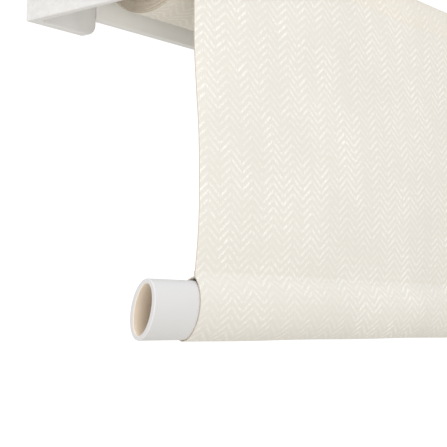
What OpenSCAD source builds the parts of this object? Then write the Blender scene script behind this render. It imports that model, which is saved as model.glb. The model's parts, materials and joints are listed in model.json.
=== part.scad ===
// Spring-assisted roller blind on two wall brackets, with an oval bottom bar.
// X runs along the blind, Y points back to the wall (wall face at Y = 0), Z is up.
// The origin is on the wall, midway between the brackets, level with the roller's axis.

/* [Blind] */
// Width of the fabric
fabric_w = 600; // [420:10:900]
// Thickness of the fabric
fabric_t = 0.6; // [0.4:0.1:1]
// Height from the roller's axis down to the centre of the bottom bar
hang_h = 174; // [150:1:260]
// How far the hanging fabric bellies towards the room
billow = 3.2; // [0:0.1:6]
// Radius of the wound fabric
roll_r = 30.3; // [24:0.1:38]
// Clearance between the wound fabric and the back rail
roll_clear = 2.1; // [1.5:0.1:10]

/* [Bottom bar] */
// Height of the oval section
bar_h = 28; // [22:0.5:36]
// Thickness of the oval section
bar_d = 14.2; // [12:0.2:20]
// Wall of the bar
bar_wall = 2.3; // [1.5:0.1:2.8]
// How far the bar stands out past each side of the fabric
bar_out = 30; // [10:1:36]
// Lean of the oval, its top towards the room
bar_tilt = 14; // [0:1:20]
// How far the centre of the bar lies behind the front of the roll
bar_back = 4.2; // [0:0.1:8]
// Height of the weld line above the top of the bar
seam_over = 3.9; // [3:0.1:10]
// How far the weld line lies in front of the centre of the bar
seam_fwd = 4.7; // [0:0.1:7]
// Height of the weld itself
seam_h = 1.6; // [1:0.1:3]

/* [Brackets] */
// Clear distance between the fabric's edge and the side plate
side_gap = 39.5; // [37:0.5:60]
// Thickness of the side plate at the wall
side_t = 4.5; // [4:0.1:6]
// Thickness of the side plate at its front edge
side_front_t = 3; // [2:0.1:4]
// Height of the bracket
bracket_h = 74; // [70:1:100]
// How far the bracket reaches past the front of the roll
front_margin = 4.3; // [2:0.1:20]
// Radius of the side plate's front corners
front_r = 10; // [4:1:20]
// Width of the wall plate, side plate included
wall_w = 41.4; // [40:0.2:60]
// Thickness of the wall plate
wall_t = 5; // [4:0.5:8]
// Radius of the wall plate's inner corners
corner_r = 6; // [2:1:10]
// Radius of the fillet between the two plates
fillet_r = 4; // [1:0.5:6]
// Radius of the wall screw holes
screw_r = 2.3; // [2:0.1:3]
// Distance between the two wall screws of one bracket
screw_pitch = 44; // [40:1:60]
// Distance from the bracket's outer face to its wall screws
screw_in = 26; // [22:1:32]
// Radius of the boss that holds the roller
boss_r = 13; // [11:0.5:16]
// Height of the boss above the side plate
boss_h = 6; // [5:0.5:8]

/* [Back rail] */
// Height of the rail
rail_h = 56; // [44:1:64]
// Thickness of the rail's web and lips
rail_t = 1.6; // [1:0.1:2]
// Length of the tongue that enters each end of the rail
tongue_l = 18; // [14:1:26]
// Distance between the two screws at one end of the rail
rail_screw_pitch = 28; // [16:1:32]
// Radius of the rail screws
rail_screw_r = 1.5; // [1.2:0.1:2]

/* [Roller] */
// Outer radius of the tube
tube_r = 20; // [16:0.1:24]
// Wall of the tube
tube_wall = 1.2; // [1:0.1:2]
// How far the tube stands out past each side of the fabric
tube_out = 20; // [10:1:22]
// Width of the key rib inside the tube
key_w = 2.4; // [2:0.1:4]
// Height of the key rib inside the tube
key_h = 2; // [1:0.1:3]
// Width of the adhesive tape under the fabric
tape_w = 12; // [8:1:16]
// Thickness of the adhesive tape
tape_t = 0.3; // [0.1:0.05:0.4]
// Thickness of the plugs' flanges
flange_t = 3; // [2:0.5:4]
// How far the plugs' hubs stand out of their flanges
hub_h = 3; // [1:0.5:4]
// Radius of the plugs' hubs
hub_r = 9; // [8:0.5:12]

/* [Idle end] */
// Radius of the idle pin
pin_r = 4; // [3:0.1:5]
// How deep the idle pin enters its bush
pin_grip = 7.5; // [5:0.5:8]
// Travel of the idle pin
pin_travel = 9; // [9:0.5:12]
// Outer radius of the idle bush
bush_r = 7; // [6:0.5:9]
// Length of the idle plug inside the tube
idle_len = 42; // [40:1:60]
// Radius of the spring chamber in the idle plug
chamber_r = 6.5; // [6.4:0.1:8]
// Thickness of the idle plug's cap
cap_t = 3; // [2:0.5:5]

/* [Drive end] */
// Radius of the spring shaft
shaft_r = 4; // [3:0.1:5]
// Thickness of the flat tang at the shaft's end
tang_t = 5; // [4:0.1:6]
// Length of the tang inside its socket
tang_grip = 7; // [5:0.5:7.5]
// Length of the drive plug inside the tube
drive_len = 36; // [30:1:60]
// Radius of the brake drum
drum_r = 7; // [6.5:0.5:9]
// Radius of the brake chamber in the drive plug
brake_r = 10.5; // [10:0.5:13]
// Length of the brake drum
drum_len = 20; // [14:1:20]
// Length of each spring anchor
anchor_len = 20; // [16:1:30]
// Radius of the anchors' noses, inside the torsion spring
nose_r = 6.4; // [6:0.1:8]
// Length of the anchors' noses
nose_len = 8; // [5:1:12]
// Length of the torsion spring
spring_len = 190; // [100:5:200]
// Wire radius of the torsion spring
spring_wire_r = 0.7; // [0.5:0.1:1]
// Turns of the torsion spring
spring_turns = 34; // [20:1:40]

/* [Hidden] */
$fn = 96;

// Fits: running is for a pin or shaft that turns, seat for pieces that stand still in each other
running = 0.05;
seat = 0.05;
// Gap left between soft pieces and whatever they pass
soft_gap = 0.3;
eps = 0.5;

// Places along X, for the left half; the right half mirrors them
half_fabric = fabric_w / 2;
half_tube = half_fabric + tube_out;
side_in = half_fabric + side_gap;
side_out = side_in + side_t;
boss_face = side_in - boss_h;
plug_face = half_tube + flange_t + hub_h;
wall_in = side_out - wall_w;
half_bar = half_fabric + bar_out;
rail_end = wall_in - soft_gap;

// The roller, and what stands in front of it
axis_y = -(wall_t + roll_clear + roll_r);
roll_front = roll_r - axis_y;
bracket_d = roll_front + front_margin;
bar_y = roll_front - bar_back;
tube_in = tube_r - tube_wall;
plug_r = tube_in - 2 * seat;
key_clear = 0.3;
flange_r = tube_r + 1;

// The idle pin and its spring, all measured along X from the middle
pin_tip = boss_face + pin_grip;
chamber_end = half_tube - 2;
collar_t = 3;
collar_r = chamber_r - 0.3;
collar_out = chamber_end - 0.1;
collar_in = collar_out - collar_t;
tail_r = pin_r - 1;
tail_end = collar_in - pin_travel - 5;
idle_in = half_tube - idle_len;
cap_face = idle_in + cap_t;
pin_spring_wire = 0.4;
pin_spring_turns = 9;
pin_spring_r = (tail_r + chamber_r) / 2;
bush_depth = pin_grip + 0.5;
bush_floor = 0.5;

// The drive end
tang_tip = boss_face + tang_grip;
tang_start = boss_face - 2.5;
socket_r = shaft_r + 3;
socket_floor = 0.5;
drive_in = half_tube - drive_len;
brake_end = half_tube - 8;
drum_in = drive_in + 3;
brake_wire = 0.5;
brake_turns = 8;
brake_mean_r = drum_r + soft_gap + brake_wire;
ring_t = 1.2;
ring_r = shaft_r + 2.5;
anchor_r = 11;
fixed_in = drive_in - 6 - anchor_len;
spring_out = fixed_in + nose_len;
spring_in = spring_out - spring_len;
driven_out = spring_in + nose_len;
driven_in = driven_out - anchor_len;
shaft_in = driven_in - 8;
coil_r = nose_r + soft_gap + spring_wire_r;
cross_x = (spring_out + fixed_in + anchor_len) / 2;
cross_r = 1.5;

// The bottom bar's oval, along its own axes, and the weld line in those axes
bar_a = bar_h / 2;
bar_b = bar_d / 2;
seam_up = bar_a + seam_over;
seam_u = seam_fwd * sin(bar_tilt) + seam_up * cos(bar_tilt);
seam_v = -seam_fwd * cos(bar_tilt) + seam_up * sin(bar_tilt);
seam_z = -hang_h + seam_up;
seam_y = -bar_y - seam_fwd;
panel_top_y = -roll_front - soft_gap;
panel_steps = 14;

white = [0.90, 0.90, 0.90];
cream = [0.94, 0.92, 0.87];
steel = [0.66, 0.67, 0.69];
nylon = [0.82, 0.82, 0.80];

// Extrudes a (Y, Z) outline along X between two places
module along_x(from, to) {
    translate([from, 0, 0])
        rotate([90, 0, 90])
            linear_extrude(height = to - from)
                children();
}

// Extrudes an (X, Z) outline along Y between two places
module along_y(from, to) {
    translate([0, to, 0])
        rotate([90, 0, 0])
            linear_extrude(height = to - from)
                children();
}

// A round bar on the roller's axis
module axle(r, from, to) {
    along_x(from, to)
        translate([axis_y, 0])
            circle(r);
}

// A ring on the roller's axis
module sleeve(r, hole, from, to) {
    along_x(from, to)
        translate([axis_y, 0])
            difference() {
                circle(r);
                circle(hole);
            }
}

// One point on the wire's skin: turn goes round the roller's axis, side round the wire
function helix_point(x, r, turn, out, side) =
    [x + out * sin(side),
     axis_y + (r + out * cos(side)) * cos(turn),
     (r + out * cos(side)) * sin(turn)];

// A coil spring about the roller's axis; tail widens its last quarter turn to hook outwards
module coil(r, wire_r, from, to, turns, tail = 0) {
    per_turn = 12;
    sides = 6;
    rings = turns * per_turn;
    points = [for (i = [0:rings])
        let (hook = max(0, i - rings + per_turn / 4) / (per_turn / 4))
        for (k = [0:sides - 1])
            helix_point(from + (to - from) * i / rings, r + tail * hook,
                360 * i / per_turn, wire_r, 360 * k / sides)];
    walls = [for (i = [0:rings - 1])
        for (k = [0:sides - 1])
            [i * sides + k, i * sides + (k + 1) % sides,
             (i + 1) * sides + (k + 1) % sides, (i + 1) * sides + k]];
    first = [for (k = [sides - 1:-1:0]) k];
    last = [for (k = [0:sides - 1]) rings * sides + k];
    polyhedron(points, concat([first, last], walls), convexity = 10);
}

// Side plate outline in (Y, Z): square at the wall, rounded at the front
module side_outline() {
    translate([-bracket_d + front_r, -bracket_h / 2])
        square([bracket_d - front_r, bracket_h]);
    translate([-bracket_d, -bracket_h / 2 + front_r])
        square([front_r + eps, bracket_h - 2 * front_r]);
    for (z = [-1, 1])
        translate([-bracket_d + front_r, z * (bracket_h / 2 - front_r)])
            circle(front_r);
}

// Side plate in plan, for the left bracket: it thins from the fillet to its front edge
module side_plan() {
    polygon([[-side_out, 0], [-side_in, 0], [-side_in, -wall_t - fillet_r],
        [-side_out + side_front_t, -bracket_d], [-side_out, -bracket_d]]);
}

// Side plate, for the left bracket
module side_plate() {
    intersection() {
        along_x(-side_out, -side_in)
            side_outline();
        linear_extrude(height = bracket_h, center = true)
            side_plan();
    }
}

// Wall plate outline in (X, Z), for the left bracket: rounded at its inner corners
module wall_outline() {
    translate([-side_out, -bracket_h / 2])
        square([wall_w - corner_r, bracket_h]);
    translate([-wall_in - corner_r - eps, -bracket_h / 2 + corner_r])
        square([corner_r + eps, bracket_h - 2 * corner_r]);
    for (z = [-1, 1])
        translate([-wall_in - corner_r, z * (bracket_h / 2 - corner_r)])
            circle(corner_r);
}

// Fillet between the two plates, in plan
module inner_fillet() {
    translate([-side_in - eps, -wall_t - fillet_r, -bracket_h / 2])
        difference() {
            cube([fillet_r + eps, fillet_r + eps, bracket_h]);
            translate([fillet_r + eps, 0, -eps])
                cylinder(r = fillet_r, h = bracket_h + 2 * eps);
        }
}

// Tongue that enters the rail, with its screw holes
module rail_tongue() {
    tongue_h = rail_h - 2 * rail_t - 2 * seat;
    difference() {
        translate([-wall_in - eps, -wall_t + rail_t + seat, -tongue_h / 2])
            cube([tongue_l + eps, wall_t - rail_t - seat, tongue_h]);
        rail_screw_places()
            cylinder(r = rail_screw_r + seat, h = 3 * wall_t, center = true);
    }
}

// The two screw places at the left end of the rail, their axis along Y
module rail_screw_places() {
    for (z = [-1, 1])
        translate([-wall_in + tongue_l / 2, -wall_t, z * rail_screw_pitch / 2])
            rotate([90, 0, 0])
                children();
}

// The two wall screw places of the left bracket, their axis along Y
module wall_screw_places() {
    for (z = [-1, 1])
        translate([-side_out + screw_in, -wall_t, z * screw_pitch / 2])
            rotate([90, 0, 0])
                children();
}

// Everything the two brackets have in common, drawn as the left one
module bracket_body() {
    difference() {
        union() {
            side_plate();
            along_y(-wall_t, 0)
                wall_outline();
            inner_fillet();
            axle(boss_r, -side_out + eps, -boss_face);
        }
        wall_screw_places() {
            cylinder(r = screw_r, h = 3 * wall_t, center = true);
        }
        wall_screw_places() {
            translate([0, 0, -screw_r])
                cylinder(r1 = screw_r, r2 = 2 * screw_r, h = screw_r);
        }
    }
    rail_tongue();
}

module left_bracket() {
    color(white)
        difference() {
            bracket_body();
            axle(bush_r + seat, -boss_face - bush_depth - bush_floor - seat, -boss_face + eps);
        }
}

module right_bracket() {
    color(white)
        mirror([1, 0, 0])
            difference() {
                bracket_body();
                axle(socket_r + seat, -boss_face - tang_grip - socket_floor - seat, -boss_face + eps);
            }
}

// Nylon bush that the idle pin turns in
module idle_bush() {
    color(nylon)
        difference() {
            axle(bush_r, -boss_face - bush_depth - bush_floor, -boss_face);
            axle(pin_r + running, -boss_face - bush_depth, -boss_face + eps);
        }
}

// Flat-sided section of the shaft's tang, in (Y, Z)
module tang_outline(gap) {
    translate([axis_y, 0])
        intersection() {
            circle(shaft_r + gap);
            square([tang_t + 2 * gap, 4 * shaft_r], center = true);
        }
}

// Insert that holds the tang and stops the shaft from turning
module drive_socket() {
    color(steel)
        difference() {
            axle(socket_r, boss_face, boss_face + tang_grip + socket_floor);
            along_x(boss_face - eps, tang_tip + seat)
                tang_outline(seat);
        }
}

// Channel behind the roller, open to the wall, which ties the two brackets together
module back_rail() {
    color([0.78, 0.78, 0.78])
        difference() {
            translate([-rail_end, -wall_t, -rail_h / 2])
                cube([2 * rail_end, wall_t, rail_h]);
            translate([-rail_end - eps, -wall_t + rail_t, -rail_h / 2 + rail_t])
                cube([2 * rail_end + 2 * eps, wall_t, rail_h - 2 * rail_t]);
            for (m = [0, 1])
                mirror([m, 0, 0])
                    rail_screw_places()
                        cylinder(r = rail_screw_r + 0.2, h = 3 * wall_t, center = true);
        }
}

// Four pan-head screws through the rail into the tongues
module rail_screws() {
    shank = wall_t - 0.6;
    head_h = 1.6;
    color(steel)
        for (m = [0, 1])
            mirror([m, 0, 0])
                rail_screw_places()
                    difference() {
                        union() {
                            translate([0, 0, -shank])
                                cylinder(r = rail_screw_r, h = shank + eps);
                            cylinder(r = 1.9 * rail_screw_r, h = head_h);
                        }
                        for (a = [0, 90])
                            rotate([0, 0, a])
                                translate([-rail_screw_r, -0.3, head_h - 0.8])
                                    cube([2 * rail_screw_r, 0.6, 2]);
                    }
}

// Key rib in (Y, Z), at the top of the tube's bore; gap widens it for the pieces it keys
module key_outline(gap) {
    translate([axis_y - key_w / 2 - gap, tube_in - key_h - gap])
        square([key_w + 2 * gap, key_h + gap + tube_wall / 2]);
}

module roller_tube() {
    color(steel) {
        sleeve(tube_r, tube_in, -half_tube, half_tube);
        along_x(-half_tube, half_tube)
            intersection() {
                key_outline(0);
                translate([axis_y, 0])
                    circle(tube_r - tube_wall / 2);
            }
    }
}

// Where the tape lies under the first turn of fabric
module tape_outline(gap) {
    translate([axis_y, 0])
        intersection() {
            difference() {
                circle(tube_r + tape_t + gap);
                circle(tube_r + seat);
            }
            translate([-tape_w / 2 - gap, 0])
                square([tape_w + 2 * gap, 2 * tube_r]);
        }
}

module fabric_tape() {
    color([0.85, 0.80, 0.62])
        along_x(-half_fabric, half_fabric)
            tape_outline(0);
}

module fabric_roll() {
    color(cream)
        along_x(-half_fabric, half_fabric)
            difference() {
                translate([axis_y, 0])
                    circle(roll_r);
                translate([axis_y, 0])
                    circle(tube_r + 2 * seat);
                tape_outline(seat);
            }
}

// Shell of a plug: a body that fits the tube, a flange on the tube's end and a hub
module plug_body(len) {
    difference() {
        axle(plug_r, -half_tube - eps, -half_tube + len);
        along_x(-half_tube, -half_tube + len + eps)
            key_outline(key_clear);
    }
    axle(flange_r, -half_tube - flange_t, -half_tube);
    axle(hub_r, -plug_face, -half_tube - flange_t + eps);
}

module idle_plug() {
    color(nylon)
        difference() {
            plug_body(idle_len);
            axle(pin_r + running, -plug_face - eps, -chamber_end + eps);
            axle(chamber_r, -chamber_end, -idle_in + eps);
        }
}

// Cap that closes the spring chamber
module idle_plug_cap() {
    color(nylon) {
        axle(chamber_r - seat, -cap_face, -idle_in);
        axle(hub_r, -idle_in, -idle_in + 2);
    }
}

module idle_pin() {
    tip_chamfer = 1;
    color(steel) {
        axle(pin_r, -pin_tip + tip_chamfer, -collar_out + eps);
        axle(collar_r, -collar_out, -collar_in);
        axle(tail_r, -collar_in - eps, -tail_end);
        translate([-pin_tip, axis_y, 0])
            rotate([0, 90, 0])
                cylinder(r1 = pin_r - tip_chamfer, r2 = pin_r, h = tip_chamfer);
    }
}

module idle_pin_spring() {
    color(steel)
        coil(pin_spring_r, pin_spring_wire, -collar_in + pin_spring_wire + running,
            -cap_face - pin_spring_wire - running, pin_spring_turns);
}

module drive_plug() {
    color(nylon)
        mirror([1, 0, 0])
            difference() {
                plug_body(drive_len);
                axle(shaft_r + running, -plug_face - eps, -brake_end + eps);
                axle(brake_r, -brake_end, -drive_in + eps);
            }
}

// Drum fixed on the shaft, which the brake spring grips
module brake_drum() {
    color(steel)
        sleeve(drum_r, shaft_r + seat, drum_in, drum_in + drum_len);
}

module brake_spring() {
    tail = brake_r - brake_mean_r - brake_wire - 0.2;
    color(steel)
        coil(brake_mean_r, brake_wire, drum_in + 3, drum_in + drum_len - 3, brake_turns, tail);
}

// Hole through the fixed anchor and the shaft for the cross pin
module cross_hole() {
    translate([cross_x, axis_y, 0])
        cylinder(r = cross_r + seat, h = 4 * anchor_r, center = true);
}

module spring_shaft() {
    color(steel)
        difference() {
            union() {
                axle(shaft_r, shaft_in, tang_start);
                along_x(tang_start - eps, tang_tip)
                    tang_outline(0);
            }
            cross_hole();
        }
}

// Ring on the shaft, outside the drive plug
module shaft_ring() {
    color(steel)
        sleeve(ring_r, shaft_r + seat, plug_face + soft_gap, plug_face + soft_gap + ring_t);
}

// Anchor that is pinned to the shaft
module fixed_anchor() {
    color(nylon)
        difference() {
            union() {
                sleeve(anchor_r, shaft_r + seat, spring_out + seat, fixed_in + anchor_len);
                sleeve(nose_r, shaft_r + seat, spring_out - nose_len, spring_out + eps);
            }
            cross_hole();
        }
}

// Cross pin through the fixed anchor and the shaft
module anchor_pin() {
    color(steel)
        translate([cross_x, axis_y, 0])
            cylinder(r = cross_r, h = 2 * anchor_r - 1, center = true);
}

module torsion_spring() {
    color(steel)
        coil(coil_r, spring_wire_r, spring_in + 1, spring_out - 1, spring_turns);
}

// Anchor that turns with the tube on the shaft
module driven_anchor() {
    color(nylon)
        difference() {
            union() {
                sleeve(plug_r, shaft_r + running, driven_in, spring_in - seat);
                sleeve(nose_r, shaft_r + running, spring_in - eps, driven_out);
            }
            along_x(driven_in - eps, driven_out + eps)
                key_outline(key_clear);
        }
}

// Clip at the shaft's inner end
module shaft_end_clip() {
    color(steel)
        sleeve(ring_r, shaft_r + seat, driven_in - soft_gap - ring_t, driven_in - soft_gap);
}

// Front face of the hanging fabric at a share u of the way down, as (Y, Z)
function panel_point(u, back) =
    [panel_top_y + (seam_y - panel_top_y + fabric_t) * u - 4 * billow * u * (1 - u)
        - (back ? 0 : fabric_t),
     u * (seam_z + soft_gap)];

module hanging_fabric() {
    front = [for (i = [0:panel_steps]) panel_point(i / panel_steps, false)];
    back = [for (i = [panel_steps:-1:0]) panel_point(i / panel_steps, true)];
    color(cream)
        along_x(-half_fabric, half_fabric)
            polygon(concat(front, back));
}

// Places an outline drawn in the oval's own axes: u up its height, v back through it
module bar_frame() {
    translate([-bar_y, -hang_h])
        rotate(90 + bar_tilt)
            mirror([0, 1])
                children();
}

// Loop that runs from an apex round the oval, grown by gap, and back to the apex
function loop_points(gap, apex) =
    let (a = bar_a + gap, b = bar_b + gap,
         reach = norm([apex[0] / a, apex[1] / b]),
         toward = atan2(apex[1] / b, apex[0] / a),
         half = acos(1 / reach),
         steps = 60)
    concat([apex], [for (i = [0:steps])
        let (t = toward + half + (360 - 2 * half) * i / steps)
        [a * cos(t), b * sin(t)]]);

// Pocket of fabric round the bar, closed by the weld line
module hem_pocket() {
    apex = [seam_u, seam_v];
    color(cream)
        along_x(-half_fabric, half_fabric)
            bar_frame()
                difference() {
                    polygon(loop_points(soft_gap + fabric_t, apex));
                    polygon(loop_points(soft_gap, [seam_u - seam_h, seam_v]));
                }
}

module bottom_bar() {
    color(white)
        along_x(-half_bar, half_bar)
            bar_frame()
                difference() {
                    scale([bar_a, bar_b])
                        circle(1);
                    scale([bar_a - bar_wall, bar_b - bar_wall])
                        circle(1);
                }
}

left_bracket();
right_bracket();
idle_bush();
drive_socket();
back_rail();
rail_screws();
roller_tube();
fabric_tape();
fabric_roll();
idle_plug();
idle_plug_cap();
idle_pin();
idle_pin_spring();
drive_plug();
brake_drum();
brake_spring();
spring_shaft();
shaft_ring();
fixed_anchor();
anchor_pin();
torsion_spring();
driven_anchor();
shaft_end_clip();
hanging_fabric();
hem_pocket();
bottom_bar();
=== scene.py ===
# %% [markdown]
# A roller blind is a roll of cloth on a tube, held by two brackets, with a stiff bar in the hem.
# The engineering model already fixes where everything goes, so we open it first and build the
# looks around it. Nothing we make may outgrow it by much.

# %% Open the engineering model
import json
import math
import random

import bmesh
import bpy
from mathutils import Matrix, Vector


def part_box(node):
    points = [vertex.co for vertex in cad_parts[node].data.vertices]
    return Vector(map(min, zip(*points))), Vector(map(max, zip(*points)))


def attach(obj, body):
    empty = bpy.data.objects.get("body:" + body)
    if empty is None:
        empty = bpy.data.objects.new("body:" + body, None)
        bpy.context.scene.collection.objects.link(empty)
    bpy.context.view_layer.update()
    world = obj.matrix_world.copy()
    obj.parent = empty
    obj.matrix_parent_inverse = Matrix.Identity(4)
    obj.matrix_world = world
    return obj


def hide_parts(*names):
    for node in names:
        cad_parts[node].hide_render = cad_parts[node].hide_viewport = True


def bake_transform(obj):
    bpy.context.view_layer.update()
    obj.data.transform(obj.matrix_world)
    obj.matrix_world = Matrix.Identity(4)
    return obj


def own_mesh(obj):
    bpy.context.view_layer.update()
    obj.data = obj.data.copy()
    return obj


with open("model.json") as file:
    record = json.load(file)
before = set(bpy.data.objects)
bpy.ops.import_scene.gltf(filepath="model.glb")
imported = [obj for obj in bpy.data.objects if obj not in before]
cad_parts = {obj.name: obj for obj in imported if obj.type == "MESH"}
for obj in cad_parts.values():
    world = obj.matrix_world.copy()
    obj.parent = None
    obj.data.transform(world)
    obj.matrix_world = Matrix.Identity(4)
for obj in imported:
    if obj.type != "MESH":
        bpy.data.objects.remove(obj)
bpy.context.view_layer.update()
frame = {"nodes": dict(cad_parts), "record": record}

MM = 0.001
random.seed(11)
scene = bpy.context.scene
print("nodes:", len(frame["nodes"]))

# %% [markdown]
# We read a few places from the boxes of the engineering nodes: the roller's axis and radius,
# the edges of the cloth, the weld at the top of the hem, and the middle of the oval bar. X runs
# along the blind, Y goes back to the wall and Z is up.

# %% Places taken from the model
roll_low, roll_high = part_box("fabric_roll")
bar_low, bar_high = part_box("bottom_bar")
tube_low, tube_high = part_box("roller_tube")
axis_y = (roll_low.y + roll_high.y) / 2
axis_z = (roll_low.z + roll_high.z) / 2
roll_radius = (roll_high.z - roll_low.z) / 2
tube_radius = (tube_high.z - tube_low.z) / 2
cloth_half = roll_high.x
weld_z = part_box("hem_pocket")[1].z
bar_y = (bar_low.y + bar_high.y) / 2
bar_z = (bar_low.z + bar_high.z) / 2
print("roll radius %.1f mm, bar centre %.1f mm down" % (roll_radius / MM, -bar_z / MM))

# %% [markdown]
# The camera stands low at the left, close to the end of the bar, and looks slightly upwards, so
# the underside of the roll and the open end of the bar both show. A long lens keeps the lines
# calm. A camera looks along its own -Z, which is why the direction is turned with "-Z" and "Y".

# %% Camera
CAMERA_FROM_BAR_END = Vector((-374, -350, -6.7)) * MM
LOOK = Vector((0.7731, 0.6283, 0.0872))
LENS = 93.3
camera = bpy.data.objects.new("camera", bpy.data.cameras.new("camera"))
scene.collection.objects.link(camera)
camera.location = Vector((bar_low.x, bar_y, bar_z)) + CAMERA_FROM_BAR_END
camera.rotation_mode = "QUATERNION"
camera.rotation_quaternion = LOOK.to_track_quat("-Z", "Y")
camera.data.lens = LENS
camera.data.sensor_width = 36
camera.data.clip_start = 0.01
camera.data.clip_end = 60
scene.camera = camera
print("camera: %.1f mm lens" % camera.data.lens)

# %% [markdown]
# Materials are built from nodes. Effects that several of them share live in node groups, and
# these two helpers keep the wiring short: one starts a group with its sockets, the other adds a
# maths node and links or fills whatever it is given.

# %% Helpers for shader nodes
def start_group(name, inputs, outputs):
    """A new shader group: inputs as (name, kind, default), outputs as (name, kind)."""
    group = bpy.data.node_groups.new(name, "ShaderNodeTree")
    for label, kind, default in inputs:
        socket = group.interface.new_socket(label, in_out="INPUT", socket_type=kind)
        if default is not None:
            socket.default_value = default
    for label, kind in outputs:
        group.interface.new_socket(label, in_out="OUTPUT", socket_type=kind)
    return group, group.nodes.new("NodeGroupInput"), group.nodes.new("NodeGroupOutput")


def feed(tree, socket, value):
    """Links a socket into another, or sets a plain value on it."""
    if isinstance(value, bpy.types.NodeSocket):
        tree.links.new(value, socket)
    else:
        socket.default_value = value


def sums(tree, operation, *values, clamp=False):
    """One maths node; returns its output."""
    node = tree.nodes.new("ShaderNodeMath")
    node.operation = operation
    node.use_clamp = clamp
    for socket, value in zip(node.inputs, values):
        feed(tree, socket, value)
    return node.outputs[0]


def ramp(tree, value, low, high, to_low=0.0, to_high=1.0, smooth=True):
    """Maps value from low..high to to_low..to_high, with soft ends when smooth."""
    node = tree.nodes.new("ShaderNodeMapRange")
    node.interpolation_type = "SMOOTHSTEP" if smooth else "LINEAR"
    for socket, given in zip(node.inputs, (value, low, high, to_low, to_high)):
        feed(tree, socket, given)
    return node.outputs[0]


def noise(tree, vector, scale, detail=2.0, roughness=0.5):
    """A noise texture's factor."""
    node = tree.nodes.new("ShaderNodeTexNoise")
    feed(tree, node.inputs["Vector"], vector)
    feed(tree, node.inputs["Scale"], scale)
    node.inputs["Detail"].default_value = detail
    node.inputs["Roughness"].default_value = roughness
    return node.outputs["Fac"]


# %% [markdown]
# The cloth is a jacquard with a zigzag rib. Folding X back and forth with the ping-pong
# operation gives a triangle wave, and lifting the rows of a sine by that wave bends them into
# chevrons. A pause at each fold, slow unevenness and a fine grain keep it from looking printed.
# Rows that lean to the right are painted a little brighter than the others: a painted highlight
# for light falling on one side of the twill. The group gives a mask for colour, a height for
# relief and a slow tone.

# %% Group: zigzag weave
COLUMN = 8.4 * MM
ROW_PITCH = 4.2 * MM
ROW_RISE = 6.5 * MM
FLOAT_WIDTH = 1.4 * MM
DRIFT = 1.0 * MM


def zigzag_weave():
    """Chevron rows, COLUMN wide and ROW_PITCH apart, that rise by ROW_RISE across a column."""
    group, start, end = start_group(
        "zigzag weave",
        [
            ("Vector", "NodeSocketVector", None),
            ("Column", "NodeSocketFloat", COLUMN),
            ("Pitch", "NodeSocketFloat", ROW_PITCH),
            ("Rise", "NodeSocketFloat", ROW_RISE),
        ],
        [("Thread", "NodeSocketFloat"), ("Height", "NodeSocketFloat"), ("Tone", "NodeSocketFloat")],
    )
    place = start.outputs["Vector"]
    parts = group.nodes.new("ShaderNodeSeparateXYZ")
    feed(group, parts.inputs[0], place)
    # The fold: X becomes a triangle wave, and Y is lifted by it.
    across = sums(group, "DIVIDE", parts.outputs["X"], start.outputs["Column"])
    lift = sums(group, "MULTIPLY", sums(group, "PINGPONG", across, 1.0), start.outputs["Rise"])
    drift = sums(group, "MULTIPLY_ADD", noise(group, place, 90.0, 1.0), DRIFT, -DRIFT / 2)
    bent = sums(group, "ADD", sums(group, "SUBTRACT", parts.outputs["Y"], lift), drift)
    row = sums(group, "DIVIDE", bent, start.outputs["Pitch"])
    wave = sums(group, "SINE", sums(group, "MULTIPLY", row, math.tau))
    # Each row is made of short upright floats, which give it a toothed edge.
    upright = sums(group, "MULTIPLY", parts.outputs["X"], math.tau / FLOAT_WIDTH)
    teeth = sums(group, "MULTIPLY_ADD", sums(group, "SINE", upright), 0.35, wave)
    rib = ramp(group, teeth, -0.25, 0.8)
    # The pause at each fold, and the painted highlight on the rows that lean one way.
    beside = sums(group, "ABSOLUTE", sums(group, "SUBTRACT", sums(group, "FRACT", across), 0.5))
    pause = ramp(group, beside, 0.38, 0.5, 1.0, 0.35)
    side = sums(group, "PINGPONG", sums(group, "FLOOR", across), 1.0)
    lean_painted_highlight = ramp(group, side, 0.0, 1.0, 1.0, 0.72)
    # Unevenness at two sizes: patches some rows tall, and single floats of thread.
    patches = ramp(group, noise(group, place, 60.0), 0.32, 0.66, 0.35, 1.0)
    floats = ramp(group, noise(group, place, 520.0, 2.0, 0.6), 0.36, 0.62, 0.15, 1.0)
    thread = sums(group, "MULTIPLY", rib, pause)
    # The thread mask carries the painted highlight of the leaning rows into colour, roughness and
    # relief.
    for share in (lean_painted_highlight, patches, floats):
        thread = sums(group, "MULTIPLY", thread, share)
    grain = noise(group, place, 1500.0, 3.0, 0.7)
    feed(group, end.inputs["Thread"], thread)
    feed(group, end.inputs["Height"], sums(group, "MULTIPLY_ADD", grain, 0.6, thread))
    feed(group, end.inputs["Tone"], noise(group, place, 14.0, 2.0))
    return group


WEAVE = zigzag_weave()
print("weave group nodes:", len(WEAVE.nodes))

# %% [markdown]
# Moulded and extruded plastic is never perfectly even: it has a faint orange-peel skin and slow
# shifts of tone. Drawn metal has fine streaks along the piece. Both effects are groups too, so
# that every white part and every metal part is a relative of the others.

# %% Groups: moulded skin and drawn streaks
def moulded_skin():
    """Orange peel for moulded plastic, with slow shifts of tone and gloss."""
    group, start, end = start_group(
        "moulded skin",
        [("Vector", "NodeSocketVector", None), ("Grain", "NodeSocketFloat", 900.0)],
        [("Tone", "NodeSocketFloat"), ("Rough", "NodeSocketFloat"), ("Height", "NodeSocketFloat")],
    )
    slow = noise(group, start.outputs["Vector"], 18.0, 3.0)
    cloud = noise(group, start.outputs["Vector"], 60.0, 2.0)
    feed(group, end.inputs["Tone"], ramp(group, slow, 0.3, 0.7, smooth=False))
    feed(group, end.inputs["Rough"], ramp(group, cloud, 0.3, 0.7, smooth=False))
    feed(group, end.inputs["Height"], noise(group, start.outputs["Vector"], start.outputs["Grain"]))
    return group


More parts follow.
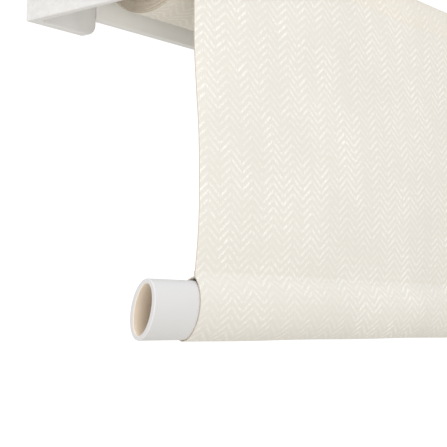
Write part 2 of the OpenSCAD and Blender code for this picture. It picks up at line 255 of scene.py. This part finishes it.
def drawn_streaks():
    """Fine streaks along X, stretched by a small share, for drawn and extruded metal."""
    group, start, end = start_group(
        "drawn streaks",
        [("Vector", "NodeSocketVector", None), ("Stretch", "NodeSocketFloat", 0.02)],
        [("Tone", "NodeSocketFloat"), ("Rough", "NodeSocketFloat"), ("Height", "NodeSocketFloat")],
    )
    parts = group.nodes.new("ShaderNodeSeparateXYZ")
    feed(group, parts.inputs[0], start.outputs["Vector"])
    along = sums(group, "MULTIPLY", parts.outputs["X"], start.outputs["Stretch"])
    joined = group.nodes.new("ShaderNodeCombineXYZ")
    for socket, value in zip(joined.inputs, (along, parts.outputs["Y"], parts.outputs["Z"])):
        feed(group, socket, value)
    streak = noise(group, joined.outputs[0], 1500.0, 3.0, 0.6)
    spots = noise(group, start.outputs["Vector"], 45.0, 3.0)
    feed(group, end.inputs["Tone"], ramp(group, spots, 0.3, 0.7, smooth=False))
    feed(group, end.inputs["Rough"], ramp(group, streak, 0.3, 0.7, smooth=False))
    feed(group, end.inputs["Height"], streak)
    return group


SKIN = moulded_skin()
STREAKS = drawn_streaks()

# %% [markdown]
# Worn corners catch the light first. The pointiness of a mesh is high on its outer edges, so a
# narrow band of it, broken up by noise, makes a mask that brightens metal and whitens plastic.

# %% Group: worn edges
def worn_edges():
    """A mask of the outer edges, which Amount makes stronger or weaker."""
    group, start, end = start_group(
        "worn edges",
        [("Vector", "NodeSocketVector", None), ("Amount", "NodeSocketFloat", 0.5)],
        [("Mask", "NodeSocketFloat")],
    )
    geometry = group.nodes.new("ShaderNodeNewGeometry")
    edge = ramp(group, geometry.outputs["Pointiness"], 0.52, 0.60)
    broken = ramp(group, noise(group, start.outputs["Vector"], 400.0, 3.0), 0.35, 0.65)
    mask = sums(group, "MULTIPLY", sums(group, "MULTIPLY", edge, broken), start.outputs["Amount"])
    feed(group, end.inputs["Mask"], mask)
    return group


EDGES = worn_edges()

# %% [markdown]
# Every material follows one plan: a Principled shader whose plain numbers sit on its own
# sockets, with colour, roughness and bump fed by a group. Object coordinates are in metres here,
# because every object's origin is the model's origin.

# %% Helpers for materials
def start_material(name, **constants):
    """A material with a Principled shader; constants go straight onto the shader's sockets."""
    material = bpy.data.materials.new(name)
    material.use_nodes = True
    shader = material.node_tree.nodes["Principled BSDF"]
    for label, value in constants.items():
        shader.inputs[label.replace("_", " ")].default_value = value
    return material, material.node_tree, shader


def place_group(tree, group, vector, **values):
    """Puts a group into a material, with its vector and its own values."""
    node = tree.nodes.new("ShaderNodeGroup")
    node.node_tree = group
    feed(tree, node.inputs["Vector"], vector)
    for label, value in values.items():
        node.inputs[label].default_value = value
    return node


def blend_colours(tree, share, first, second):
    """Mixes two colours by a share."""
    node = tree.nodes.new("ShaderNodeMix")
    node.data_type = "RGBA"
    sockets = {socket.identifier: socket for socket in node.inputs}
    feed(tree, sockets["Factor_Float"], share)
    feed(tree, sockets["A_Color"], first)
    feed(tree, sockets["B_Color"], second)
    return next(socket for socket in node.outputs if socket.identifier == "Result_Color")


def add_bump(tree, shader, height, distance, strength):
    """Relief for a shader from a height."""
    bump = tree.nodes.new("ShaderNodeBump")
    bump.inputs["Strength"].default_value = strength
    bump.inputs["Distance"].default_value = distance
    feed(tree, bump.inputs["Height"], height)
    feed(tree, shader.inputs["Normal"], bump.outputs["Normal"])


def object_place(tree):
    return tree.nodes.new("ShaderNodeTexCoord").outputs["Object"]


# %% [markdown]
# The hanging cloth is nearly flat, so its weave is laid out by X and Z and keeps its true size
# however far the blind is pulled down. The roll and the hem curve round, so they carry a UV map
# that counts metres along the cloth instead.

# %% Materials: cloth
CLOTH_MAP = "cloth metres"


def cloth_material(name, mapped, deep, lit, relief):
    """Cloth with the zigzag weave; deep and lit are its colours between and on the threads."""
    material, tree, shader = start_material(
        name, Sheen_Weight=0.12, Sheen_Roughness=0.5, Specular_IOR_Level=0.25
    )
    if mapped:
        uv = tree.nodes.new("ShaderNodeUVMap")
        uv.uv_map = CLOTH_MAP
        place = uv.outputs["UV"]
    else:
        parts = tree.nodes.new("ShaderNodeSeparateXYZ")
        feed(tree, parts.inputs[0], object_place(tree))
        joined = tree.nodes.new("ShaderNodeCombineXYZ")
        feed(tree, joined.inputs["X"], parts.outputs["X"])
        feed(tree, joined.inputs["Y"], parts.outputs["Z"])
        place = joined.outputs[0]
    weave = place_group(tree, WEAVE, place)
    colour = blend_colours(tree, weave.outputs["Thread"], deep, lit)
    dull = tuple(0.93 * part for part in deep[:3]) + (1,)
    shade = ramp(tree, weave.outputs["Tone"], 0.35, 0.65, 0.0, 0.35)
    colour = blend_colours(tree, shade, colour, dull)
    feed(tree, shader.inputs["Base Color"], colour)
    feed(tree, shader.inputs["Roughness"], ramp(tree, weave.outputs["Thread"], 0, 1, 0.92, 0.78))
    add_bump(tree, shader, weave.outputs["Height"], relief, 0.5)
    return material


BETWEEN_THREADS = (0.755, 0.735, 0.685, 1)
ON_THREADS = (0.965, 0.955, 0.925, 1)
RELIEF = 0.3 * MM
cloth_hanging = cloth_material("cloth, hanging", False, BETWEEN_THREADS, ON_THREADS, RELIEF)
cloth_hem = cloth_material("cloth, hem", True, BETWEEN_THREADS, ON_THREADS, RELIEF)
# The wound cloth is the same cloth, painted warmer and a little duller: painted warm shade for the
# underside of the roll.
cloth_wound_painted_shade = cloth_material(
    "cloth, wound, painted warm shade", True, (0.76, 0.725, 0.655, 1), (0.955, 0.935, 0.885, 1), 0.25 * MM
)


def painted_shade_edge_material():
    """The knife-cut side of the cloth, with a grain of thread ends; its dark, warm brown is painted
    shade for the end of the roll.
    """
    material, tree, shader = start_material("cloth, cut edge, painted shade", Roughness=0.95)
    ends = noise(tree, object_place(tree), 900.0, 3.0, 0.6)
    # Both browns are painted shade; the noise between them is the grain of the thread ends.
    colour = blend_colours(tree, ends, (0.50, 0.42, 0.33, 1), (0.74, 0.67, 0.57, 1))
    feed(tree, shader.inputs["Base Color"], colour)
    add_bump(tree, shader, ends, 0.1 * MM, 0.5)
    return material


cut_edge_painted_shade = painted_shade_edge_material()
print("cloth materials:", cloth_hanging.name, cloth_hem.name, cloth_wound_painted_shade.name, cut_edge_painted_shade.name)

# %% [markdown]
# The brackets, the bar and the small bearings are plastic. One function makes them all: two close
# tones that the moulded skin mixes, a roughness that wanders a little about its middle, and a
# faint relief. The inside of the bar is rougher, and its colour is painted lighter and warmer than
# the outside: painted warm light inside the bore.

# %% Materials: plastics
def plastic_material(name, colour, shade, rough, grain, relief):
    """Plastic in two close tones; grain is the scale of its skin, relief its depth."""
    material, tree, shader = start_material(name)
    place = object_place(tree)
    skin = place_group(tree, SKIN, place, Grain=grain)
    edges = place_group(tree, EDGES, place, Amount=0.35)
    base = blend_colours(tree, skin.outputs["Tone"], colour, shade)
    base = blend_colours(tree, edges.outputs["Mask"], base, (0.95, 0.95, 0.95, 1))
    feed(tree, shader.inputs["Base Color"], base)
    gloss = ramp(tree, skin.outputs["Rough"], 0, 1, rough - 0.05, rough + 0.05)
    feed(tree, shader.inputs["Roughness"], gloss)
    add_bump(tree, shader, skin.outputs["Height"], relief, 0.4)
    return material


bracket_white = plastic_material(
    "bracket plastic", (0.80, 0.80, 0.805, 1), (0.78, 0.78, 0.785, 1), 0.42, 900.0, 0.03 * MM
)
bar_white = plastic_material(
    "bar plastic", (0.70, 0.702, 0.715, 1), (0.68, 0.682, 0.695, 1), 0.34, 500.0, 0.02 * MM
)
# The bar's inner wall: rougher plastic, with its lighter, warmer colour as painted warm light.
bar_inside_painted_light = plastic_material(
    "bar inside, painted warm light", (0.86, 0.77, 0.67, 1), (0.80, 0.70, 0.58, 1), 0.6, 700.0, 0.05 * MM
)
nylon_white = plastic_material(
    "nylon", (0.80, 0.79, 0.74, 1), (0.76, 0.75, 0.70, 1), 0.48, 1400.0, 0.03 * MM
)
tape_clear = plastic_material(
    "adhesive tape", (0.80, 0.74, 0.55, 1), (0.72, 0.65, 0.45, 1), 0.3, 300.0, 0.02 * MM
)

# %% [markdown]
# The metals share a function too. Their streaks run along the piece, and bare is the colour that
# shows where an edge is worn. The rail is painted, not bare: its Metallic is 0, and its paint
# doesn't wear bright, so its edges keep the paint's own colour.

# %% Materials: metals
def metal_material(name, colour, shade, rough, metallic, stretch, relief, bare):
    """Metal or painted metal, streaked along X, with bare as the colour of its worn edges."""
    material, tree, shader = start_material(name, Metallic=metallic)
    place = object_place(tree)
    streaks = place_group(tree, STREAKS, place, Stretch=stretch)
    edges = place_group(tree, EDGES, place, Amount=0.5)
    base = blend_colours(tree, streaks.outputs["Tone"], colour, shade)
    base = blend_colours(tree, edges.outputs["Mask"], base, bare)
    feed(tree, shader.inputs["Base Color"], base)
    gloss = ramp(tree, streaks.outputs["Rough"], 0, 1, rough - 0.08, rough + 0.08)
    feed(tree, shader.inputs["Roughness"], gloss)
    add_bump(tree, shader, streaks.outputs["Height"], relief, 0.35)
    return material


rail_paint = metal_material(
    "rail, powder coated", (0.83, 0.83, 0.82, 1), (0.80, 0.80, 0.79, 1), 0.5, 0.0, 0.6, 0.03 * MM,
    (0.83, 0.83, 0.82, 1)
)
tube_metal = metal_material(
    "tube aluminium", (0.80, 0.81, 0.82, 1), (0.70, 0.71, 0.73, 1), 0.36, 1.0, 0.02, 0.03 * MM,
    (0.9, 0.9, 0.9, 1)
)
zinc = metal_material(
    "zinc-plated steel", (0.62, 0.63, 0.66, 1), (0.50, 0.52, 0.56, 1), 0.32, 1.0, 0.1, 0.02 * MM,
    (0.8, 0.8, 0.8, 1)
)
spring_wire = metal_material(
    "spring wire", (0.34, 0.35, 0.38, 1), (0.22, 0.23, 0.26, 1), 0.38, 1.0, 0.3, 0.02 * MM,
    (0.5, 0.5, 0.5, 1)
)

# %% [markdown]
# The record names a material slot for every engineering node. One table turns those slots into
# our materials, and two more look up the slot and the moving body of a node.

# %% Which material and which body a node has
SLOT_MATERIALS = {
    "bracket_plastic": bracket_white,
    "bar_plastic": bar_white,
    "nylon": nylon_white,
    "rail_aluminium": rail_paint,
    "tube_aluminium": tube_metal,
    "steel": zinc,
    "spring_steel": spring_wire,
    "blind_fabric": cloth_hem,
    "tape": tape_clear,
}
NODE_SLOTS = {part["node"]: part["material_slot"] for part in frame["record"]["subparts"]}
NODE_BODIES = {
    node: body
    for body, nodes in frame["record"]["behaviour"]["bodies"].items()
    for node in nodes
}
print("materials:", len(SLOT_MATERIALS))

# %% [markdown]
# Hard parts keep the exact shape of the engineering model, but no real edge is razor sharp. We
# copy each mesh, merge its flat triangles back into whole faces and round every corner by a
# fraction of a millimetre with a Bevel modifier. The highlights that run along those edges are
# what makes plastic and metal look moulded and turned. The widths in the table are in
# millimetres.

# %% Rounded copies of the hard parts
EDGE_ROUNDING = {
    "left_bracket": 0.5,
    "right_bracket": 0.6,
    "back_rail": 0.4,
    "rail_screws": 0.12,
    "idle_bush": 0.2,
    "drive_socket": 0.2,
    "roller_tube": 0.2,
    "fabric_tape": 0.04,
    "idle_plug": 0.4,
    "idle_plug_cap": 0.3,
    "idle_pin": 0.25,
    "drive_plug": 0.4,
    "brake_drum": 0.25,
    "spring_shaft": 0.03,
    "shaft_ring": 0.15,
    "fixed_anchor": 0.3,
    "anchor_pin": 0.2,
    "driven_anchor": 0.3,
    "shaft_end_clip": 0.15,
}
# Sliding new corners along their edges folds slivers over where this bracket's walls meet.
NO_LOOP_SLIDE = {"left_bracket"}
FLAT = math.radians(1.0)
CORNER = math.radians(35.0)
BEVEL_SEGMENTS = 3


def link_piece(name, mesh, material, body, stands_for=()):
    """Puts a finished mesh into the scene as a piece; it rides on body, unless that is None."""
    piece = bpy.data.objects.new(name, mesh)
    scene.collection.objects.link(piece)
    mesh.materials.clear()
    mesh.materials.append(material)
    if body:
        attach(piece, body)
    if stands_for:
        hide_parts(*stands_for)
    return piece


def rounded_part(node, width):
    """A copy of a node with whole faces and rounded edges."""
    mesh = frame["nodes"][node].data.copy()
    mesh.name = node + " rounded"
    shape = bmesh.new()
    shape.from_mesh(mesh)
    bmesh.ops.remove_doubles(shape, verts=shape.verts, dist=0.001 * MM)
    bmesh.ops.dissolve_limit(shape, angle_limit=FLAT, verts=shape.verts, edges=shape.edges)
    for face in shape.faces:
        face.smooth = True
        face.material_index = 0
    shape.to_mesh(mesh)
    shape.free()
    slot = NODE_SLOTS[node]
    piece = link_piece(node + "_rounded", mesh, SLOT_MATERIALS[slot], NODE_BODIES[node], [node])
    bevel = piece.modifiers.new("rounded edges", "BEVEL")
    bevel.width = width * MM
    bevel.segments = BEVEL_SEGMENTS
    bevel.limit_method = "ANGLE"
    bevel.angle_limit = CORNER
    bevel.use_clamp_overlap = False
    bevel.loop_slide = node not in NO_LOOP_SLIDE
    bevel.harden_normals = True
    return piece


for node, width in EDGE_ROUNDING.items():
    rounded_part(node, width)
print("rounded parts:", len(EDGE_ROUNDING))

# %% [markdown]
# A coil spring is a wire that follows a helix, so a curve with a round profile is the natural
# way to make one: the path is worked out turn by turn and the curve's bevel gives it thickness.
# It is then turned into a mesh, so that the spring behind the idle pin can be squeezed when the
# pin is pushed in.

# %% Springs
POINTS_PER_TURN = 24
TORSION_WIRE, PIN_WIRE, BRAKE_WIRE = 0.7 * MM, 0.4 * MM, 0.5 * MM
TORSION_TURNS, PIN_TURNS, BRAKE_TURNS = 34, 9, 8
BRAKE_TAIL = 2.0 * MM
BRAKE_OFF_DRUM = 0.8 * MM


def worked_out(piece):
    """The mesh that a piece has once its curve or its modifiers are worked out."""
    graph = bpy.context.evaluated_depsgraph_get()
    return bpy.data.meshes.new_from_object(piece.evaluated_get(graph))


def spring(name, node, wire, from_x, to_x, turns, radius, tail=0.0):
    """A coil about the roller's axis; tail lifts the last quarter turn outwards."""
    steps = int(turns * POINTS_PER_TURN)
    quarter = POINTS_PER_TURN / 4
    curve = bpy.data.curves.new(name, "CURVE")
    curve.dimensions = "3D"
    curve.bevel_depth = wire
    curve.bevel_resolution = 3
    curve.use_fill_caps = True
    line = curve.splines.new("POLY")
    line.points.add(steps)
    for step, point in enumerate(line.points):
        turn = math.tau * step / POINTS_PER_TURN
        hook = max(0.0, step - steps + quarter) / quarter
        reach = radius + tail * hook
        x = from_x + (to_x - from_x) * step / steps
        point.co = (x, axis_y + reach * math.cos(turn), axis_z + reach * math.sin(turn), 1)
    path = bpy.data.objects.new(name + " path", curve)
    scene.collection.objects.link(path)
    mesh = worked_out(path)
    bpy.data.objects.remove(path)
    bpy.data.curves.remove(curve)
    return link_piece(name, mesh, spring_wire, NODE_BODIES[node], [node])


def spring_from_node(name, node, wire, turns, tail=0.0):
    """The same coil, sized from its engineering node's box."""
    low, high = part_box(node)
    radius = (high.z - low.z) / 2 - wire - tail / 2
    return spring(name, node, wire, low.x + wire, high.x - wire, turns, radius, tail)


spring_from_node("torsion_spring_coil", "torsion_spring", TORSION_WIRE, TORSION_TURNS)
pin_spring = spring_from_node("idle_pin_spring_coil", "idle_pin_spring", PIN_WIRE, PIN_TURNS)
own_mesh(pin_spring)
brake_low, brake_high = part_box("brake_spring")
drum_low, drum_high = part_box("brake_drum")
brake_radius = (drum_high.z - drum_low.z) / 2 + BRAKE_OFF_DRUM
spring(
    "brake_spring_coil", "brake_spring", BRAKE_WIRE,
    brake_low.x + BRAKE_WIRE, brake_high.x - BRAKE_WIRE, BRAKE_TURNS, brake_radius, BRAKE_TAIL,
)

# %% [markdown]
# All the cloth is made with one idea: a strip of points is worked out in the Y-Z plane, counted
# in metres along the cloth, and swept along X in columns. A UV map keeps those metres for the
# weave. A Solidify modifier gives the cloth its thickness; it is applied at once, so that the
# cut edges can be marked sharp and two pieces of cloth can meet without a dark line.

# %% Helpers for cloth
CLOTH_THICK = 0.5 * MM
CUT_EDGE = math.radians(50)


def thicken(piece, side):
    """Gives a sheet its thickness on one side, with crisp cut edges in their own material, painted
    a shade colour.
    """
    solid = piece.modifiers.new("cloth thickness", "SOLIDIFY")
    solid.thickness = CLOTH_THICK
    solid.offset = side
    thin = piece.data
    # The cut edges take the cut-edge material, whose dark brown is painted shade.
    thin.materials.append(cut_edge_painted_shade)
    solid.material_offset_rim = 1
    piece.data = worked_out(piece)
    piece.modifiers.clear()
    piece.data.name = thin.name + " thick"
    piece.data.set_sharp_from_angle(angle=CUT_EDGE)
    bpy.data.meshes.remove(thin)


def swept_cloth(name, columns, path_at, count, material, body, stands_for, side, height=None):
    """Sweeps path_at(i, x) over the columns; returns the piece and its length along the strip.

    The map counts down along the strip, from height, or so that it ends at 0."""
    shape = bmesh.new()
    uv = shape.loops.layers.uv.new(CLOTH_MAP)
    rows = [[shape.verts.new(path_at(i, x)) for x in columns] for i in range(count)]
    middle = len(columns) // 2
    metres = [0.0]
    for i in range(1, count):
        metres.append(metres[-1] + (rows[i][middle].co - rows[i - 1][middle].co).length)
    top = metres[-1] if height is None else height
    for i in range(count - 1):
        for k in range(len(columns) - 1):
            corners = ((i, k), (i + 1, k), (i + 1, k + 1), (i, k + 1))
            face = shape.faces.new([rows[a][b] for a, b in corners])
            face.smooth = True
            for loop, (a, b) in zip(face.loops, corners):
                loop[uv].uv = (columns[b], top - metres[a])
    mesh = bpy.data.meshes.new(name)
    shape.to_mesh(mesh)
    shape.free()
    piece = link_piece(name, mesh, material, body, stands_for)
    thicken(piece, side)
    return piece, metres[-1]


def even_columns(half, count):
    """Evenly spaced places from -half to half."""
    return [half * (2 * k / (count - 1) - 1) for k in range(count)]


def smooth_curve(points, share):
    """A smooth curve through a few (share, value) points, read at a share."""
    for i in range(len(points) - 1):
        if share <= points[i + 1][0] or i == len(points) - 2:
            break
    (s1, v1), (s2, v2) = points[i], points[i + 1]
    s0, v0 = points[max(i - 1, 0)]
    s3, v3 = points[min(i + 2, len(points) - 1)]
    slope1 = (v2 - v0) / (s2 - s0)
    slope2 = (v3 - v1) / (s3 - s1)
    t = (share - s1) / (s2 - s1)
    width = s2 - s1
    a = 2 * t**3 - 3 * t**2 + 1
    b = t**3 - 2 * t**2 + t
    c = 3 * t**2 - 2 * t**3
    d = t**3 - t**2
    return a * v1 + b * width * slope1 + c * v2 + d * width * slope2


# %% [markdown]
# The roll is one long strip wound in a spiral, not a cylinder: its end shows every turn. The
# turns are a little uneven at the sides, as wound cloth always is, and the gaps between them are
# real, so light dies in them. The end of the roll is dark partly from that real shade and partly
# from the painted shade of the cut-edge colour on every turn.

# %% Wound cloth
TURN_STEPS = 72
TURN_PITCH = 0.6 * MM
FIRST_TURN_OFF_TUBE = 0.95 * MM
MOST_SIDE_SLIP = 0.55
SLIPS_PER_TURN = 3
roll_start = tube_radius + FIRST_TURN_OFF_TUBE
roll_end = roll_radius - 0.1 * MM
front_of_roll = axis_y - roll_end
turns = (roll_end - roll_start) / TURN_PITCH
steps = int(turns * TURN_STEPS)
jitter = [random.uniform(0, MOST_SIDE_SLIP) * MM for _ in range(int(turns * SLIPS_PER_TURN) + 4)]


def side_slip(i):
    """How far a turn stays short of the cloth's edge, changing slowly along the strip."""
    at = i / TURN_STEPS * SLIPS_PER_TURN
    k = int(at)
    t = at - k
    t = t * t * (3 - 2 * t)
    return jitter[k] * (1 - t) + jitter[k + 1] * t


def wound_point(i, x):
    """Winds clockwise towards the front, where the last turn meets the hanging cloth."""
    left = steps - i
    angle = math.tau * left / TURN_STEPS
    radius = roll_end - TURN_PITCH * left / TURN_STEPS
    inset = side_slip(i) * (abs(x) / cloth_half) ** 8 * min(1.0, left / TURN_STEPS)
    return (
        x - math.copysign(inset, x),
        axis_y - radius * math.cos(angle),
        axis_z + radius * math.sin(angle),
    )


roll_columns = [cloth_half * share for share in (-1, -0.99, -0.5, 0.0, 0.5, 0.99, 1)]
wound, wound_length = swept_cloth(
    "wound_cloth", roll_columns, wound_point, steps + 1, cloth_wound_painted_shade, "roller", ["fabric_roll"], -1
)
print("wound cloth: %.2f m in %.1f turns" % (wound_length, turns))

# %% [markdown]
# The hanging cloth leaves the roll at its front, flush with the last turn, and keeps a memory of
# being wound: it drifts forward, bellies towards the room and tucks back just above the weld.
# The belly is a few places along the drop, each with its millimetres forward, and a smooth
# curve runs through them. The side edges curl a hair.

# %% Hanging cloth
BELLY = [
    (0.0, 0.0), (0.2, 0.45), (0.33, 0.75), (0.46, 2.1), (0.58, 3.5),
    (0.70, 3.9), (0.82, 3.7), (0.92, 2.6), (1.0, 1.1),
]
PANEL_ROWS = 90
RIPPLE = 0.22 * MM
EDGE_CURL = 0.5 * MM
CURL_WIDTH = 12 * MM
panel_top_y = front_of_roll + CLOTH_THICK
weld_y = panel_top_y - BELLY[-1][1] * MM
panel_columns = even_columns(cloth_half, 161)


def hanging_point(i, x):
    """The back of the cloth: its belly, shallow ripples and the curl at its side edges."""
    share = i / (PANEL_ROWS - 1)
    fade = math.sin(math.pi * share)
    ripple = RIPPLE * math.sin(x * 21 + 0.6) * math.sin(x * 7.3 + share * 2) * fade
    curl = EDGE_CURL * max(0.0, (abs(x) - cloth_half + CURL_WIDTH) / CURL_WIDTH) ** 2 * fade
    y = panel_top_y - smooth_curve(BELLY, share) * MM + ripple + curl
    return (x, y, axis_z + (weld_z - axis_z) * share)


panel, panel_length = swept_cloth(
    "hanging_cloth", panel_columns, hanging_point, PANEL_ROWS, cloth_hanging, None,
    ["hanging_fabric"], 1,
)
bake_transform(panel)
print("hanging cloth: %.0f mm long at rest" % (panel_length / MM))

# %% [markdown]
# The bar is an extruded oval with a thick wall and open ends. An oval is a circle pressed in one
# direction, so a loop of angles gives each ring, leaned over by the tilt. The rings run along
# the outside and back along the inside, the last joins the first, and a Bevel takes the
# sharpness off the sawn edges.

# %% Oval bar
BAR_HEIGHT, BAR_DEPTH, BAR_WALL = 28 * MM, 14.2 * MM, 2.3 * MM
BAR_TILT = math.radians(14)
BAR_STATIONS = 13
RING_STEPS = 96
EASED_END = 0.45 * MM
UP_OVAL = Vector((0, -math.sin(BAR_TILT), math.cos(BAR_TILT)))
THROUGH_OVAL = Vector((0, math.cos(BAR_TILT), math.sin(BAR_TILT)))
bar_centre = Vector((0, bar_y, bar_z))


def oval_point(half_high, half_deep, angle, x=0.0):
    """A point on an oval ring about the bar's centre."""
    place = bar_centre + UP_OVAL * half_high * math.cos(angle)
    place = place + THROUGH_OVAL * half_deep * math.sin(angle)
    return Vector((x, place.y, place.z))


def make_bar():
    """The oval tube, with its inner wall in a material of its own that is painted with warm light.
    """
    shape = bmesh.new()

    def ring(x, inset):
        half_high, half_deep = BAR_HEIGHT / 2 - inset, BAR_DEPTH / 2 - inset
        angles = [math.tau * k / RING_STEPS for k in range(RING_STEPS)]
        return [shape.verts.new(oval_point(half_high, half_deep, angle, x)) for angle in angles]

    gaps = BAR_STATIONS - 1
    stations = [bar_low.x + (bar_high.x - bar_low.x) * k / gaps for k in range(BAR_STATIONS)]
    rings = [ring(x, 0.0) for x in stations] + [ring(x, BAR_WALL) for x in reversed(stations)]
    inner_faces = []
    for row, (first, second) in enumerate(zip(rings, rings[1:] + rings[:1])):
        inside = len(stations) <= row < len(rings) - 1
        for k in range(RING_STEPS):
            after = (k + 1) % RING_STEPS
            face = shape.faces.new((first[k], first[after], second[after], second[k]))
            face.smooth = True
            inner_faces.append(inside)
    bmesh.ops.recalc_face_normals(shape, faces=shape.faces)
    mesh = bpy.data.meshes.new("bottom_bar_oval")
    shape.to_mesh(mesh)
    shape.free()
    bar = link_piece("bottom_bar_oval", mesh, bar_white, "bar", ["bottom_bar"])
    # The inner faces take the material whose colour is painted warm light.
    mesh.materials.append(bar_inside_painted_light)
    mesh.polygons.foreach_set("material_index", [int(inside) for inside in inner_faces])
    bevel = bar.modifiers.new("eased ends", "BEVEL")
    bevel.width = EASED_END
    bevel.segments = BEVEL_SEGMENTS
    bevel.limit_method = "ANGLE"
    bevel.angle_limit = math.radians(60)
    bevel.harden_normals = True
    return bar


bar = make_bar()
print("bar: %d faces before its ends are eased" % len(bar.data.polygons))

# %% [markdown]
# The hem is the same cloth, wrapped under the bar, turned up behind it and welded to itself in a
# straight line. From the weld, the front layer runs down to where it just touches the oval,
# follows it round underneath and climbs up the back. The two touching points come from the
# tangents of an ellipse. The map goes on counting from the hanging cloth, so that the rows of
# the weave meet at the weld.

# %% Hem pocket
HEM_GAP = 0.35 * MM
HEM_STEPS = 72
WELD_HEIGHT = 2.6 * MM
WELD_GAP = 0.02 * MM
FREE_STEPS = 12
FRONT_BULGE = 0.3 * MM
BACK_BULGE = 0.6 * MM
HEM_SOFTNESS = 0.12 * MM
weld = Vector((0, weld_y, weld_z))
weld_up = (weld - bar_centre).dot(UP_OVAL) / (BAR_HEIGHT / 2 + HEM_GAP)
weld_through = (weld - bar_centre).dot(THROUGH_OVAL) / (BAR_DEPTH / 2 + HEM_GAP)
toward = math.atan2(weld_through, weld_up)
touch = math.acos(1 / math.hypot(weld_up, weld_through))


def hem_path():
    """The pocket's inner face in Y-Z: from the weld down the front, round the bar and up again."""
    def on_bar(angle):
        return oval_point(BAR_HEIGHT / 2 + HEM_GAP, BAR_DEPTH / 2 + HEM_GAP, angle)

    front, back = on_bar(toward - touch), on_bar(toward + touch)
    pressed = weld - Vector((0, 0, WELD_HEIGHT))
    behind = Vector((0, WELD_GAP, 0))
    path = [weld]
    for i in range(FREE_STEPS):
        share = i / FREE_STEPS
        bulge = Vector((0, -FRONT_BULGE * math.sin(math.pi * share), 0))
        path.append(pressed.lerp(front, share) + bulge)
    for i in range(HEM_STEPS + 1):
        path.append(on_bar(toward - touch - (math.tau - 2 * touch) * i / HEM_STEPS))
    for i in range(1, FREE_STEPS + 1):
        share = i / FREE_STEPS
        bulge = Vector((0, BACK_BULGE * math.sin(math.pi * share), 0))
        path.append(back.lerp(pressed + behind, share) + bulge)
    path.append(weld + behind)
    return path


hem_points = hem_path()
hem_columns = even_columns(cloth_half, 121)


def hem_point(i, x):
    """A point of the pocket, with soft unevenness that dies out at the weld."""
    place = hem_points[i]
    share = i / (len(hem_points) - 1)
    soft = HEM_SOFTNESS * math.sin(x * 60 + share * 9) * math.sin(math.pi * share)
    outward = (place - bar_centre).normalized()
    return (x, place.y + outward.y * soft, place.z + outward.z * soft)


hem, hem_length = swept_cloth(
    "hem_cloth", hem_columns, hem_point, len(hem_points), cloth_hem, "bar", ["hem_pocket"], 1,
    height=weld_z - axis_z,
)
print("hem: %.0f mm round" % (hem_length / MM))

# %% [markdown]
# The floor is one large square, pale and far below, lower than the bar can go. Its colour drifts
# a little, so that it isn't a flat tone.

# %% Floor
FLOOR_HALF = 6.0
FLOOR_HEIGHT = -1.75
FLOOR_TONES = (0.90, 0.88, 0.83, 1), (0.92, 0.90, 0.85, 1)


def make_floor():
    """The floor, a pale square far below the blind."""
    shape = bmesh.new()
    corners = [(-1, -1), (1, -1), (1, 1), (-1, 1)]
    shape.faces.new(
        [shape.verts.new((x * FLOOR_HALF, y * FLOOR_HALF, FLOOR_HEIGHT)) for x, y in corners]
    )
    mesh = bpy.data.meshes.new("floor")
    shape.to_mesh(mesh)
    shape.free()
    floor = bpy.data.objects.new("floor", mesh)
    scene.collection.objects.link(floor)
    material, tree, shader = start_material("pale floor", Roughness=0.9)
    tone = noise(tree, object_place(tree), 3.0)
    feed(tree, shader.inputs["Base Color"], blend_colours(tree, tone, *FLOOR_TONES))
    mesh.materials.append(material)


make_floor()

# %% [markdown]
# The surround is white. It looks pure white to the camera but lights the blind less strongly,
# which the Light Path node makes possible: one background answers camera rays and the other
# answers all the rest.

# %% Surround
def make_surround(seen, lit):
    """A white surround; seen is its strength to the camera and lit its strength as a light."""
    world = bpy.data.worlds.new("studio surround")
    scene.world = world
    world.use_nodes = True
    tree = world.node_tree
    tree.nodes.clear()
    out = tree.nodes.new("ShaderNodeOutputWorld")
    choose = tree.nodes.new("ShaderNodeMixShader")
    path = tree.nodes.new("ShaderNodeLightPath")
    shown = tree.nodes.new("ShaderNodeBackground")
    lights = tree.nodes.new("ShaderNodeBackground")
    shown.inputs["Color"].default_value = (1, 1, 1, 1)
    shown.inputs["Strength"].default_value = seen
    lights.inputs["Color"].default_value = (1.0, 0.99, 0.975, 1)
    lights.inputs["Strength"].default_value = lit
    feed(tree, choose.inputs[0], path.outputs["Is Camera Ray"])
    feed(tree, choose.inputs[1], lights.outputs[0])
    feed(tree, choose.inputs[2], shown.outputs[0])
    feed(tree, out.inputs["Surface"], choose.outputs[0])


make_surround(seen=1.1, lit=0.66)

# %% [markdown]
# Three square area lights shape the blind. The key light is close, above and in front on the
# left. A warm fill comes up from below on the same side, which keeps the underside of the roll
# and the hem from going grey, and a small light from the far left opens up the end of the bar.
# The colours go out through the Standard view, so that the whites stay white.

# %% Lamps
def soft_light(name, place, aim, size, watts, colour=(1, 1, 1)):
    """A square area light at place that shines towards aim and can't be seen itself."""
    lamp = bpy.data.lights.new(name, "AREA")
    lamp.shape = "SQUARE"
    lamp.size = size
    lamp.energy = watts
    lamp.color = colour
    holder = bpy.data.objects.new(name, lamp)
    scene.collection.objects.link(holder)
    holder.location = place
    holder.rotation_mode = "QUATERNION"
    holder.rotation_quaternion = (Vector(aim) - Vector(place)).to_track_quat("-Z", "Y")
    holder.visible_camera = False


soft_light("key light", (-0.8, -0.95, 0.9), (-0.25, -0.05, -0.05), 0.9, 10.2)
soft_light("fill light", (-1.3, -1.2, -0.9), (-0.3, 0, -0.05), 1.4, 10, (1.0, 0.97, 0.92))
soft_light("end light", (-1.9, -0.4, -0.3), (-0.34, -0.04, -0.08), 0.8, 3)
scene.view_settings.view_transform = "Standard"
scene.view_settings.look = "None"
